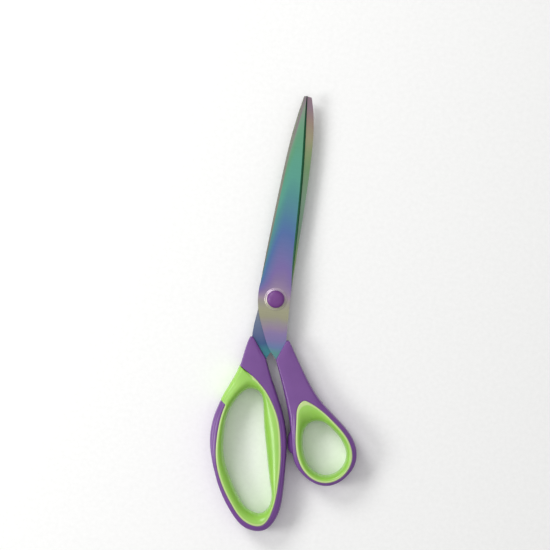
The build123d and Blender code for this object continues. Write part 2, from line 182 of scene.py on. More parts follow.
class Handle:
    """The outlines of one handle, and the matching between its inner chain and its outer outline.

    The inner chain starts at the spine's left foot, follows the seam anticlockwise to its right foot, and
    comes back round the spine. seam_end is the distance along it to the right foot.
    """

    ANGLES = np.linspace(0, 2 * pi, 3200, endpoint=False)
    SOFTEN = 0.45 * MM  # of the seam's and the outline's corners
    RIM_SOFTEN, RIM_REACH = 3.5 * MM, 10 * MM  # of the rim, and how far from the spine's foot that acts
    WAIST_SOFTEN = 12  # of the opening's waist, in steps of ANGLES
    EASE = 4 * MM  # how far the matching is smoothed along the outline
    ANCHOR_REACH = 9 * MM  # how far a pinned column carries its neighbours along
    SEAM_POINTS, SPINE_POINTS, CAP_POINTS = 900, 60, 24
    OUTLINE_SAMPLES, CHAIN_SAMPLES = 2400, 3000
    LUG_CLEAR = 5 * MM  # a height above the middle plane that a stop lug doesn't reach

    def __init__(self, hard, soft, foot, reach, end, half_width, lug=None):
        """hard and soft are CAD nodes. foot, reach and end place the spine. lug is the range of angles,
        about the opening's middle, where a stop lug stands out of the handle's side."""
        rings = slices(soft, MIDDLE_Z)
        seam, waist = rings[:2]
        self.centre = (waist.min(0) + waist.max(0)) / 2
        farthest = polar(slices(hard, MIDDLE_Z) + rings, self.centre, self.ANGLES)
        self.bump = np.zeros_like(farthest)
        if lug:
            above_lug = polar(slices(hard, MIDDLE_Z + self.LUG_CLEAR), self.centre, self.ANGLES)
            inside = (self.ANGLES > lug[0]) & (self.ANGLES < lug[1])
            self.bump = np.where(inside, farthest - np.nan_to_num(above_lug, nan=0), 0)
            farthest = farthest - self.bump
        self.outer = rounded(around(self.centre, farthest, self.ANGLES), self.SOFTEN)
        seam_reach = polar([seam], self.centre, self.ANGLES, far=False)
        self.seam = rounded(around(self.centre, seam_reach, self.ANGLES), self.SOFTEN)
        self.waist_reach = smooth_round(polar([waist], self.centre, self.ANGLES), self.WAIST_SOFTEN)
        self.depth = depth_profile([hard])
        self.half_width = half_width
        self.chain, self.seam_start, self.seam_end = self.inner_chain(foot, reach, end)
        self.rim = self.soft_rim(foot)
        self.match()

    def half_depth(self, points):
        return np.interp(points[..., 1], *self.depth)

    def angle_of(self, points):
        return np.mod(np.arctan2(points[..., 1] - self.centre[1], points[..., 0] - self.centre[0]), 2 * pi)

    def waist_at(self, points):
        """The opening's narrowest point on the same ray as each given point."""
        angles = self.angle_of(points)
        return around(self.centre, np.interp(angles, self.ANGLES, self.waist_reach, period=2 * pi), angles)

    def soft_rim(self, foot):
        """The grip's rim just inside the seam, point for point, much softened near the spine's foot."""
        waist = self.waist_at(self.seam)
        inward = (waist - self.seam) / np.linalg.norm(waist - self.seam, axis=1)[:, None]
        rim = self.seam + inward * LIP
        width = int(self.RIM_SOFTEN / EVEN_STEP)
        soft = np.column_stack([smooth_round(rim[:, i], width) for i in (0, 1)])
        near = np.exp(-((np.linalg.norm(self.seam - foot, axis=1) / self.RIM_REACH) ** 2))[:, None]
        return rim * (1 - near) + soft * near

    def rim_at(self, where):
        """The rim's point for a distance along the seam."""
        along = lengths(self.seam)
        closed = np.vstack([self.rim, self.rim[:1]])
        where = np.mod(where, along[-1])
        return np.column_stack([np.interp(where, along, closed[:, i]) for i in (0, 1)])

    def inner_chain(self, foot, reach, end):
        """The seam from the spine's left foot round to its right foot, and back round the spine. The spine
        leaves the seam square, and bends within reach towards its end."""
        along = lengths(self.seam)
        start = along[np.argmin(np.linalg.norm(self.seam - foot, axis=1))]
        seam_length = along[-1] - 2 * self.half_width
        seam = at_length(self.seam, start + self.half_width + np.linspace(0, seam_length, self.SEAM_POINTS))
        base, ahead_of_it = at_length(self.seam, np.array([start, start + self.half_width]))
        square = np.array([(ahead_of_it - base)[1], -(ahead_of_it - base)[0]])
        bend = base + square / np.linalg.norm(square) * reach
        t = np.linspace(0, 1, self.SPINE_POINTS)[:, None]
        line = base * (1 - t) ** 2 + 2 * bend * t * (1 - t) + end * t * t
        run = np.gradient(line, axis=0)
        across = np.column_stack([run[:, 1], -run[:, 0]]) / np.linalg.norm(run, axis=1)[:, None]
        right, left = line + across * self.half_width, line - across * self.half_width
        turn = np.linspace(0, pi, self.CAP_POINTS)[1:-1, None]
        onward = np.array([-across[-1][1], across[-1][0]])
        cap = line[-1] + self.half_width * (np.cos(turn) * across[-1] + np.sin(turn) * onward)
        chain = np.vstack([seam, right[1:], cap, left[:0:-1]])
        return chain, start + self.half_width, lengths(chain)[len(seam) - 1]

    def match(self):
        """Pairs distances along the outline with distances along the chain: nearest points, smoothed."""
        whole_in, whole_out = lengths(self.chain)[-1], lengths(self.outer)[-1]
        count = self.OUTLINE_SAMPLES
        sigma = np.linspace(0, whole_out, count, endpoint=False)
        tau = np.linspace(0, whole_in, self.CHAIN_SAMPLES, endpoint=False)
        gaps = at_length(self.outer, sigma)[:, None] - at_length(self.chain, tau)[None]
        nearest = tau[np.argmin((gaps ** 2).sum(2), axis=1)]
        first = int(np.argmin(nearest))
        nearest, sigma = np.roll(nearest, -first), sigma + sigma[first]
        steps = np.diff(nearest, append=nearest[0] + whole_in)
        steps = np.mod(steps + whole_in / 2, whole_in) - whole_in / 2
        matched = np.maximum.accumulate(nearest[0] + np.concatenate([[0], np.cumsum(steps)[:-1]]))
        trend = whole_in * np.arange(count) / count
        matched = trend + smooth_round(matched - trend, int(count * self.EASE / whole_out))
        self.whole_in, self.whole_out = whole_in, whole_out
        self.sigma, self.tau = sigma, matched

    def pin(self, outer_point, tau_point):
        """Shifts the matching so that one outline point's column starts at a given place on the chain."""
        on_outer = at_length(self.outer, self.sigma)
        here = int(np.argmin(((on_outer - outer_point) ** 2).sum(1)))
        missing = tau_point - self.tau[here] + self.whole_in / 2
        missing = np.mod(missing, self.whole_in) - self.whole_in / 2
        away = np.abs(self.sigma - self.sigma[here])
        away = np.minimum(away, self.whole_out - away)
        moved = self.tau + missing * np.exp(-((away / self.ANCHOR_REACH) ** 2))
        self.tau = np.maximum.accumulate(moved) + np.arange(len(moved)) * 1e-9

    def sigma_at(self, tau):
        """Where on the outline the column that starts at a place on the chain ends."""
        tau_all = np.concatenate([self.tau - self.whole_in, self.tau, self.tau + self.whole_in])
        sigma_all = np.concatenate([self.sigma - self.whole_out, self.sigma, self.sigma + self.whole_out])
        return np.interp(tau, tau_all, sigma_all)

    def spaced(self, start, end, step):
        """Places on the chain from start to end, about a step apart both there and on the outline."""
        tau = np.linspace(start, end, 2000)
        sigma = self.sigma_at(tau)
        travel = (tau - tau[0] + sigma - sigma[0]) / 2
        count = max(2, int(round(travel[-1] / step)) + 1)
        return np.interp(np.linspace(0, travel[-1], count), travel, tau)

    def column(self, tau):
        """The inner and outer ends of the columns at places on the chain."""
        return at_length(self.chain, tau), at_length(self.outer, self.sigma_at(tau))


def quarter(count, whole=True):
    """Sines and cosines of a quarter turn in equal steps, with or without its first value."""
    turn = np.linspace(0, pi / 2, count + 1)[0 if whole else 1:]
    return np.sin(turn), np.cos(turn)


def mirrored(section):
    """A section's upper half, from its inner end to the middle plane, joined to its mirror image."""
    lower = section[:, -2::-1] * np.array([1, 1, -1])
    return np.concatenate([section, lower], axis=1)


def mesh_object(name, vertices, faces, material, lip_highlight=None):
    """A shown piece from points about the middle plane. The lip values, one for each point, mark a highlight
    painted on the grip.
    """
    mesh = bpy.data.meshes.new(name)
    vertices = np.asarray(vertices, float) + np.array([0, 0, MIDDLE_Z])
    mesh.from_pydata(vertices.tolist(), [], [tuple(int(i) for i in f) for f in faces])
    if lip_highlight is not None:
        mesh.attributes.new("lip_highlight", "FLOAT", "POINT").data.foreach_set("value", np.asarray(lip_highlight, np.float32))
    bm = bmesh.new()
    bm.from_mesh(mesh)
    bmesh.ops.remove_doubles(bm, verts=bm.verts, dist=1e-7)
    bmesh.ops.dissolve_degenerate(bm, edges=bm.edges, dist=1e-8)
    bmesh.ops.recalc_face_normals(bm, faces=bm.faces)
    bm.to_mesh(mesh)
    bm.free()
    mesh.shade_smooth()
    mesh.set_sharp_from_angle(angle=radians(50))
    piece = bpy.data.objects.new(name, mesh)
    bpy.context.scene.collection.objects.link(piece)
    mesh.materials.append(material)
    return piece


def grid_faces(columns, rows, ring):
    """Quads between neighbouring columns of points, numbered column by column. The columns close in a
    circle, and so do the rows if ring is true."""
    faces = []
    for j in range(columns):
        k = (j + 1) % columns
        for r in range(rows if ring else rows - 1):
            s = (r + 1) % rows
            faces.append((j * rows + r, k * rows + r, k * rows + s, j * rows + s))
    return faces


# ---------------------------------------------------------------- hard handles

SEAM_EDGE = 0.35 * MM  # rounding of the hard plastic where it meets the grip
NOSE_EDGE, BOW_EDGE = 1.2 * MM, 2.8 * MM  # rounding of a handle's outer edges at its two ends
NOSE_END, BOW_START = from_pivot(0, -36)[1], from_pivot(0, -66)[1]
EDGE_SHARE, CURVE_SHARE = 0.2, 0.58  # the most of a section's width that each rounding takes
CURVE_FALL, WRAP_FALL = 1.1, 1.15  # how deep the outer roundings are for their width, on plastic and grip
CROWN = 0.40 * MM  # how much lower the top is beside the rounding than at the seam
COLUMN_STEP, CORE_STEP, GRIP_STEP = 0.75 * MM, 0.9 * MM, 0.7 * MM  # between columns
WALL_DRAFT = 0.15 * MM
LUG_HALF_DEPTH, LUG_FADE = 4.4 * MM, 0.9 * MM
CORE_SINK = 2.2 * MM  # the core's depth under the grip that wraps round it
PARTING_WIDE, PARTING_HIGH = 0.14 * MM, 0.07 * MM  # the mould's parting line, halfway up the outer wall
EASE_DROP, EASE_REACH = 0.22 * MM, 0.45 * MM  # the edge where two materials meet across a handle
HARD_NEAR, SOFT_NEAR = (0.12, 0.28, 0.45), (0.0, 0.1, 0.25, 0.45)  # columns beside that edge, in millimetres
NEAR_ROOM = 0.7 * MM  # kept free of other columns for them
EDGE_STEPS, TOP_STEPS, CURVE_STEPS, WALL_STEPS = 4, 6, 9, 12  # of a hard section, from the seam outwards


def hard_section(handle, tau, on_seam, drop, core):
    """Sections of the hard handle: arrays of column, row and x, y, z, for the upper half and its mirror."""
    inner, outer = handle.column(tau)
    run = outer - inner
    wide = np.linalg.norm(run, axis=1)
    away = run / wide[:, None]
    bump = np.interp(handle.angle_of(outer), handle.ANGLES, handle.bump, period=2 * pi)
    wide = wide - drop - np.where(core, CORE_SINK, 0)
    edge_round = np.interp(outer[:, 1], [BOW_START, NOSE_END], [BOW_EDGE, NOSE_EDGE])
    curve = np.minimum(edge_round, CURVE_SHARE * wide)
    edge = np.minimum(SEAM_EDGE, EDGE_SHARE * wide) * on_seam
    shoulder = CROWN + curve * CURVE_FALL
    wall_top = handle.half_depth(inner + away * wide[:, None]) - drop
    wall_top = wall_top - np.where(core, CORE_SINK, 0) - shoulder
    rows = []
    for s, c in zip(*quarter(EDGE_STEPS)):
        rows.append((edge * (1 - c), edge * (1 - s), None))
    for share in np.linspace(0, 1, TOP_STEPS + 1)[1:]:
        rows.append((edge + (wide - curve - edge) * share, CROWN * share ** 2 * np.ones_like(wide), None))
    for s, c in zip(*quarter(CURVE_STEPS, whole=False)):
        rows.append((wide - curve * (1 - s), CROWN + curve * CURVE_FALL * (1 - c), None))
    for share in np.linspace(0, 1, WALL_STEPS + 1)[1:-1]:
        rows.append((wide, shoulder, share))
    for height in (2 * PARTING_WIDE, PARTING_WIDE, 0):
        rows.append((wide, shoulder, 1 - height / wall_top))
    section = np.zeros((len(tau), len(rows), 3))
    for r, (reach, fall, wall) in enumerate(rows):
        xy = inner + away * reach[:, None]
        high = handle.half_depth(xy) - drop - np.where(core, CORE_SINK, 0) - fall
        if wall is not None:
            high = high * (1 - wall)
            on_line = np.clip(2 - high / PARTING_WIDE, 0, 1)
            bulge = WALL_DRAFT * (1 - (1 - wall) ** 2) - WALL_DRAFT - PARTING_HIGH * (1 - on_line)
            fade = np.clip((LUG_HALF_DEPTH - high) / LUG_FADE, 0, 1)
            bulge = bulge + bump * fade * fade * (3 - 2 * fade)
            xy = xy + away * np.broadcast_to(bulge, wide.shape)[:, None]
        else:
            share = np.clip((reach - (wide - curve)) / curve, 0, 1)
            xy = xy - away * ((WALL_DRAFT + PARTING_HIGH) * share ** 4)[:, None]
        section[:, r, :2] = xy
        section[:, r, 2] = high
    return mirrored(section)


def hard_handle(name, handle, material, wrap_end=None):
    """A hard handle. Where the grip wraps round it, from the chain's start to wrap_end, it is only a core."""
    near = np.array(HARD_NEAR) * MM
    seam_tau = handle.spaced(0, handle.seam_end, COLUMN_STEP)
    spine_tau = handle.spaced(handle.seam_end, handle.whole_in, COLUMN_STEP)[1:-1]
    core_columns = 0
    if wrap_end:
        core_tau = handle.spaced(0, wrap_end, CORE_STEP)
        plain_tau = handle.spaced(wrap_end + MM, handle.seam_end, COLUMN_STEP)
        seam_tau = np.concatenate([[0.0], core_tau, [wrap_end], wrap_end + near, plain_tau])
        core_columns = len(core_tau)
        before = spine_tau[spine_tau < handle.whole_in - NEAR_ROOM]
        spine_tau = np.concatenate([before, handle.whole_in - near[::-1]])
    tau = np.concatenate([seam_tau, spine_tau])
    last_seam = len(seam_tau) - 1
    core = (np.arange(len(tau)) > 0) & (np.arange(len(tau)) <= core_columns)
    drop = np.zeros(len(tau))
    if wrap_end:
        gap = np.minimum(np.abs(tau - wrap_end), np.minimum(tau, handle.whole_in - tau))
        drop = np.where(core, 0, EASE_DROP * np.clip(1 - gap / EASE_REACH, 0, 1) ** 2)
    on_seam = np.where(np.arange(len(tau)) <= last_seam, 1.0, 0.0)
    section = hard_section(handle, tau, on_seam, drop, core)
    columns, rows = section.shape[:2]
    sines, cosines = quarter(EDGE_STEPS)
    edge_rows = len(sines)
    # At the spine's feet the seam's rounded edge turns along the base, so it has no faces towards the spine
    faces = [
        face for face in grid_faces(columns, rows, ring=False)
        if face[0] // rows not in (last_seam, columns - 1)
        or edge_rows - 1 <= face[0] % rows < rows - edge_rows
    ]

    # The seam's wall, and the short stretch of seam between the spine's two feet
    feet_gap = lengths(handle.seam)[-1] - handle.seam_end
    shares = np.linspace(0, 1, 7)[1:-1]
    base = at_length(handle.seam, handle.seam_start + handle.seam_end + feet_gap * shares)
    run = np.gradient(base, axis=0)
    outward = np.column_stack([run[:, 1], -run[:, 0]]) / np.linalg.norm(run, axis=1)[:, None]
    top = np.zeros((len(base), edge_rows, 3))
    for r in range(edge_rows):
        xy = base + outward * SEAM_EDGE * (1 - cosines[r])
        top[:, r, :2] = xy
        top[:, r, 2] = handle.half_depth(xy) - SEAM_EDGE * (1 - sines[r])
    under = top * np.array([1, 1, -1])
    first = columns * rows

    def base_index(k, r, low):
        """A point of the base: k runs from the right foot to the left, r from the wall to the top."""
        if k in (0, len(base) + 1):
            column = last_seam if k == 0 else 0
            return column * rows + (rows - 1 - r if low else r)
        return first + (low * len(base) + k - 1) * edge_rows + r

    for j in range(last_seam):
        faces.append((j * rows, (j + 1) * rows, (j + 1) * rows + rows - 1, j * rows + rows - 1))
    for k in range(len(base) + 1):
        faces.append([base_index(q, 0, low) for q, low in ((k, 0), (k + 1, 0), (k + 1, 1), (k, 1))])
        for low in (0, 1):
            for r in range(edge_rows - 1):
                corners = ((k, r), (k, r + 1), (k + 1, r + 1), (k + 1, r))
                faces.append([base_index(q, t, low) for q, t in corners])
    vertices = np.concatenate([section.reshape(-1, 3), top.reshape(-1, 3), under.reshape(-1, 3)])

    # The strip of flat top along the spine, above and below
    for low in (0, 1):
        ring = [base_index(k, edge_rows - 1, low) for k in range(len(base) + 2)]
        spine_row = rows - edge_rows if low else edge_rows - 1
        ring += [j * rows + spine_row for j in range(columns - 1, last_seam, -1)]
        corners = [Vector((*vertices[i][:2], 0)) for i in ring]
        faces += [tuple(ring[i] for i in triangle) for triangle in tessellate_polygon([corners])]
    return mesh_object(name, vertices, faces, material)


# ---------------------------------------------------------------- soft grips

GRIP_PROUD = 0.24 * MM
LIP_ROUND = 0.45 * MM
WRAP_ROUND, WRAP_SHARE = 3.4 * MM, 0.6  # of the wrap's outer edges, and the most of its width they take
WRAP_DROP_REACH = 0.4 * MM  # past the seam, over which the wrap's eased edge drops
FUNNEL_POWER = 2.1
FUNNEL_ROWS, BACK_ROWS = 16, 18
LIP_ROWS = 6  # of a lining's back rows, the ones round its lip
TOP_ROWS, ROUND_ROWS = 5, 8  # of a wrap's back rows, the ones over its top and round its edge


def soft_section(handle, tau, wrapped, drop):
    """Sections of a soft grip, from the opening's waist over its rim to the seam or round the handle."""
    seam = at_length(handle.seam, handle.seam_start + tau)
    waist = handle.waist_at(seam)
    inward = (waist - seam) / np.linalg.norm(waist - seam, axis=1)[:, None]
    rim = handle.rim_at(handle.seam_start + tau)
    section = np.zeros((len(tau), FUNNEL_ROWS + 1 + BACK_ROWS, 3))

    def put(row, xy, z):
        section[:, row, :2] = xy
        section[:, row, 2] = z

    for r, turn in enumerate(np.linspace(0, pi / 2, FUNNEL_ROWS + 1)):
        share = cos(turn) ** (2 / FUNNEL_POWER)
        xy = rim + (waist - rim) * share
        put(r, xy, (handle.half_depth(rim) + GRIP_PROUD) * sin(turn))
    top = handle.half_depth(seam) + GRIP_PROUD
    past_seam = np.linalg.norm(seam - rim, axis=1)
    outer = at_length(handle.outer, handle.sigma_at(tau))
    run = outer - rim
    wide = np.linalg.norm(run, axis=1) - drop
    away = run / np.linalg.norm(run, axis=1)[:, None]
    round_wide = np.minimum(WRAP_ROUND, WRAP_SHARE * wide)
    for step in range(1, BACK_ROWS + 1):
        row = FUNNEL_ROWS + step
        if step <= LIP_ROWS:
            turn = pi / 2 * (step - 1) / (LIP_ROWS - 1)
            lined = seam + inward * LIP_ROUND * (1 - sin(turn))
            lined_z = top - LIP_ROUND * (1 - cos(turn))
        else:
            share = (step - LIP_ROWS) / (BACK_ROWS - LIP_ROWS)
            lined, lined_z = seam, (top - LIP_ROUND) * (1 - share)
        wall = 0
        if step <= TOP_ROWS:
            reach = (wide - round_wide) * step / TOP_ROWS
            fall = CROWN * (step / TOP_ROWS) ** 2 * np.ones_like(wide)
        elif step <= TOP_ROWS + ROUND_ROWS:
            turn = pi / 2 * (step - TOP_ROWS) / ROUND_ROWS
            reach = wide - round_wide * (1 - sin(turn))
            fall = CROWN + round_wide * WRAP_FALL * (1 - cos(turn))
        else:
            reach, fall = wide, CROWN + round_wide * WRAP_FALL
            wall = (step - TOP_ROWS - ROUND_ROWS) / (BACK_ROWS - TOP_ROWS - ROUND_ROWS)
        around_xy = rim + away * reach[:, None]
        lowered = drop * np.clip((reach - past_seam) / WRAP_DROP_REACH, 0, 1)
        around_z = (handle.half_depth(around_xy) + GRIP_PROUD - lowered - fall) * (1 - wall)
        pick = wrapped[:, None]
        put(row, np.where(pick, around_xy, lined), np.where(wrapped, around_z, lined_z))
    return mirrored(section)


def soft_grip(name, handle, material, wrap_end=None):
    """A soft grip: a closed ring of sections. From the chain's start to wrap_end it wraps the handle."""
    whole = lengths(handle.seam)[-1]
    if wrap_end:
        near = np.array(SOFT_NEAR) * MM
        wrap_tau = np.concatenate([near, handle.spaced(MM, wrap_end - MM, GRIP_STEP), wrap_end - near[::-1]])
        gap = np.minimum(wrap_tau, wrap_end - wrap_tau)
        plain_tau = np.linspace(wrap_end, whole, int((whole - wrap_end) / GRIP_STEP))
        tau = np.concatenate([wrap_tau, plain_tau])
        wrapped = np.arange(len(tau)) < len(wrap_tau)
        ease = (EASE_DROP + GRIP_PROUD) * np.clip(1 - gap / EASE_REACH, 0, 1) ** 2
        drop = np.concatenate([ease, np.zeros(len(plain_tau))])
    else:
        tau = np.linspace(0, whole, int(whole / GRIP_STEP), endpoint=False)
        wrapped, drop = np.zeros(len(tau), bool), np.zeros(len(tau))
    section = soft_section(handle, tau, wrapped, drop)
    columns, rows = section.shape[:2]
    # The plain columns' lip rows are marked for a highlight painted paler along the grip's rim
    lip_highlight = np.zeros((columns, rows))
    for row in range(FUNNEL_ROWS, FUNNEL_ROWS + LIP_ROWS + 1):
        for at in (row, rows - 1 - row):
            lip_highlight[:, at] = np.where(wrapped, 0, 1)
    return mesh_object(
        name, section.reshape(-1, 3), grid_faces(columns, rows, ring=True), material, lip_highlight.ravel(),
    )


# ---------------------------------------------------------------- caps and washers

TURNS = 128  # columns of a turned piece
WASHER_BORE = 0.5  # of its outer radius
CAP_SKIRT = 0.30  # of the cap's height
CAP_SHOULDER, CAP_STEPS = 0.62, 27  # the shoulder's power, which squares it below 1, and its rows

def lathe(name, profile, centre, material, flip=False):
    """A round piece from a list of radius and height, turned about an upright line through the pivot."""
    vertices = []
    for t in range(TURNS):
        angle = 2 * pi * t / TURNS
        for radius, height in profile:
            x, y = AXIS[0] + radius * cos(angle), AXIS[1] + radius * sin(angle)
            vertices.append((x, y, centre + (-height if flip else height) - MIDDLE_Z))
    has_bore = profile[0][0] > 0
    return mesh_object(name, vertices, grid_faces(TURNS, len(profile), ring=has_bore), material)


def cap_profile(tall, radius):
    """A cap with a short straight skirt, a rounded shoulder and a shallow dome."""
    skirt = CAP_SKIRT * tall
    points = [(0, 0), (radius * 0.9, 0), (radius - 0.1 * MM, 0.02 * MM), (radius, 0.12 * MM), (radius, skirt)]
    for turn in np.linspace(0, pi / 2, CAP_STEPS + 1)[1:]:
        points.append((radius * cos(turn) ** CAP_SHOULDER, skirt + (tall - skirt) * sin(turn)))
    return points


def washer_profile(tall, radius):
    """A washer with a sloping rim, a shallow groove inside it and a slope up to its raised middle."""
    inner = radius * WASHER_BORE
    return [
        (inner, 0), (radius - 0.05 * MM, 0), (radius, 0.04 * MM), (radius - 0.03 * MM, 0.08 * MM),
        (radius - 0.25 * MM, 0.19 * MM), (radius - 0.45 * MM, tall * 0.62), (radius - 0.58 * MM, tall * 0.65),
        (radius - 0.68 * MM, tall * 0.5), (radius - 0.78 * MM, tall * 0.42),
        (radius - 0.88 * MM, tall * 0.46), (radius - 1.1 * MM, tall * 0.72),
        (radius - 1.35 * MM, tall * 0.96), (radius - 1.5 * MM, tall), (inner, tall),
    ]


# ---------------------------------------------------------------- node materials

class Shader:
    """A new material with a Principled shader, and short calls that add nodes to it."""

    def __init__(self, name, **inputs):
        self.material = bpy.data.materials.new(name)
        self.material.use_nodes = True
        self.tree = self.material.node_tree
        self.bsdf = self.tree.nodes["Principled BSDF"]
        for key, value in inputs.items():
            self.bsdf.inputs[key.replace("_", " ")].default_value = value
        place = self.tree.nodes.new("ShaderNodeTexCoord")
        self.place, self.normal = place.outputs["Object"], place.outputs["Normal"]

    def node(self, kind, output=0, settings=None, **inputs):
        made = self.tree.nodes.new("ShaderNode" + kind)
        for key, value in (settings or {}).items():
            setattr(made, key, value)
        for key, value in inputs.items():
            key = int(key[1:]) if key[0] == "i" and key[1:].isdigit() else key.replace("_", " ")
            if isinstance(value, bpy.types.NodeSocket):
                self.tree.links.new(value, made.inputs[key])
            else:
                made.inputs[key].default_value = value
        return made.outputs[output]

    def math(self, operation, a, b=0.0, c=0.0):
        return self.node("Math", settings={"operation": operation}, i0=a, i1=b, i2=c)

    def vector(self, operation, a, b):
        return self.node("VectorMath", settings={"operation": operation}, i0=a, i1=b)

    def axes(self, vector):
        split = self.tree.nodes.new("ShaderNodeSeparateXYZ")
        self.tree.links.new(vector, split.inputs[0])
        return split.outputs

    def ranged(self, value, low, high, to_low=0.0, to_high=1.0, smooth=True):
        kind = {"interpolation_type": "SMOOTHSTEP" if smooth else "LINEAR"}
        return self.node("MapRange", settings=kind, i0=value, i1=low, i2=high, i3=to_low, i4=to_high)

    def noise(self, scale, detail=2.0, stretch=None):
        place = self.vector("MULTIPLY", self.place, stretch) if stretch else self.place
        return self.node("TexNoise", Vector=place, Scale=scale, Detail=detail)

    def ramp(self, value, stops):
        """A colour ramp from a list of places from 0 to 1 and colours written as hexadecimal sRGB."""
        made = self.tree.nodes.new("ShaderNodeValToRGB")
        elements = made.color_ramp.elements
        while len(elements) < len(stops):
            elements.new(1.0)
        for element, (where, colour) in zip(elements, sorted(stops)):
            element.position, element.color = where, srgb(colour)
        self.tree.links.new(value, made.inputs[0])
        return made.outputs[0]

    def mix(self, share, a, b, blend="MIX"):
        made = self.tree.nodes.new("ShaderNodeMix")
        made.data_type, made.blend_type, made.clamp_factor = "RGBA", blend, True
        for key, value in ((0, share), (6, a), (7, b)):
            if isinstance(value, bpy.types.NodeSocket):
                self.tree.links.new(value, made.inputs[key])
            else:
                made.inputs[key].default_value = srgb(value) if isinstance(value, str) else value
        return made.outputs[2]

    def bump(self, height, distance, strength):
        made = self.tree.nodes.new("ShaderNodeBump")
        made.inputs["Distance"].default_value = distance
        made.inputs["Strength"].default_value = strength
        self.tree.links.new(height, made.inputs["Height"])
        return made.outputs[0]

    def to(self, socket, value):
        self.tree.links.new(value, self.bsdf.inputs[socket])


def srgb(text):
    """A hexadecimal sRGB colour as linear red, green, blue and alpha."""
    parts = [int(text[i:i + 2], 16) / 255 for i in (0, 2, 4)]
    return [*(p / 12.92 if p <= 0.04045 else ((p + 0.055) / 1.055) ** 2.4 for p in parts), 1.0]


def hard_plastic(name):
    """Satin violet moulding with a fine grain."""
    m = Shader(name, Roughness=0.36, IOR=1.5, Coat_Weight=0.25, Coat_Roughness=0.22)
    cloud = m.noise(90.0, 3.0)
    fine = m.noise(2600.0, 2.0)
    tone = m.math("ADD", m.math("MULTIPLY", cloud, 0.75), m.math("MULTIPLY", fine, 0.25))
    m.to("Base Color", m.ramp(tone, [(0.3, "6b3c87"), (0.7, "73438f")]))
    m.to("Roughness", m.ranged(m.noise(420.0, 4.0), 0.3, 0.7, 0.33, 0.42))
    m.to("Normal", m.bump(m.noise(3200.0, 3.0), 0.00002, 0.5))
    return m.material


def soft_rubber(name):
    """Lime green satin soft plastic with a fine grain and a lip painted paler as a highlight, a little
    translucent.
    """
    m = Shader(
        name, Roughness=0.4, IOR=1.5, Subsurface_Weight=0.15, Subsurface_Scale=0.003,
        Coat_Weight=0.6, Coat_Roughness=0.24,
    )
    m.bsdf.inputs["Subsurface Radius"].default_value = (0.6, 1.0, 0.25)
    cloud = m.noise(70.0, 3.0)
    fine = m.noise(2200.0, 2.0)
    tone = m.math("ADD", m.math("MULTIPLY", cloud, 0.7), m.math("MULTIPLY", fine, 0.3))
    green = m.ramp(tone, [(0.3, "8ec54a"), (0.7, "9bcf54")])
    lip_highlight = m.node("Attribute", output=2, settings={"attribute_name": "lip_highlight"})
    # Painted highlight: the marked lip rows along the seam are mixed towards a pale cream green
    m.to("Base Color", m.mix(m.ranged(lip_highlight, 0.2, 1.0, 0.0, 0.55), green, "d9e0a8"))
    m.to("Roughness", m.ranged(m.noise(500.0, 4.0), 0.3, 0.7, 0.34, 0.44))
    m.to("Normal", m.bump(m.noise(2500.0, 3.0), 0.00003, 0.6))
    return m.material


def cap_plastic(name):
    """Violet moulding of the caps, less shiny than the handles."""
    m = Shader(name, Roughness=0.42, IOR=1.5)
    cloud = m.noise(300.0, 3.0)
    m.to("Base Color", m.ramp(cloud, [(0.3, "6a337d"), (0.7, "723985")]))
    m.to("Roughness", m.ranged(m.noise(900.0, 4.0), 0.3, 0.7, 0.38, 0.48))
    m.to("Normal", m.bump(m.noise(4000.0, 3.0), 0.00001, 0.5))
    return m.material


# The coating's colour along a blade, at millimetres above the pivot
THUMB_COAT = [
    (-31, "5f8f90"), (-28, "6c7fa6"), (-24, "8279a6"), (-20, "8b7ca6"), (-17, "95859c"), (-14, "978f94"),
    (-11, "9c9a83"), (-7, "a1a085"), (-3, "9d9890"), (1, "a090a0"), (7, "9280a0"), (12, "8776a0"),
    (18, "7f70a6"), (25, "7573a6"), (33, "6874a5"), (40, "5b74a6"), (47, "587fa0"), (54, "5a8a98"),
    (62, "5a9392"), (72, "60a090"), (84, "62a28c"), (94, "66a080"), (101, "6ea080"), (107, "7a9f86"),
    (113, "8a9888"), (118, "8d8088"),
]
# The stops round the finger blade's root, from -31 to -15, are the coating's own blue darkened with painted
# shade, as that root lies lower, beside the thumb blade
FINGER_COAT = [
    (-31, "46818c"), (-27, "4a648b"), (-22, "5f6b8f"), (-15, "6f7c95"), (-8, "858a95"), (0, "8c8c98"),
    (8, "8580a0"), (20, "7a76a6"), (33, "6878a4"), (45, "5f869c"), (60, "68948e"), (75, "729a7c"),
    (88, "869a72"), (98, "989878"), (106, "98857a"), (114, "8d7984"),
]
# The same for the strip along the finger blade's cutting edge
EDGE_STRIP = [
    (8, "86907e"), (22, "75905c"), (40, "6e8573"), (60, "758f7a"), (80, "72906a"), (90, "82946c"),
    (98, "999478"), (106, "98857a"), (114, "8d7984"),
]
# The edge bevel's colour is the coating's green darkened as a painted dark reflection
STEEP_BACK, BEVEL_DARK_REFLECTION = "77796f", "2f6b4c"  # the sloping back's colour and the edge bevel's
BLADE_ROOT, BLADE_TIP = 8.0, 120.0  # along Y from the pivot, in millimetres


def spread_stops(stops):
    """A list of colours at millimetres, as a ramp's stops from 0 to 1."""
    first, last = stops[0][0], stops[-1][0]
    return [((at - first) / (last - first), colour) for at, colour in stops]


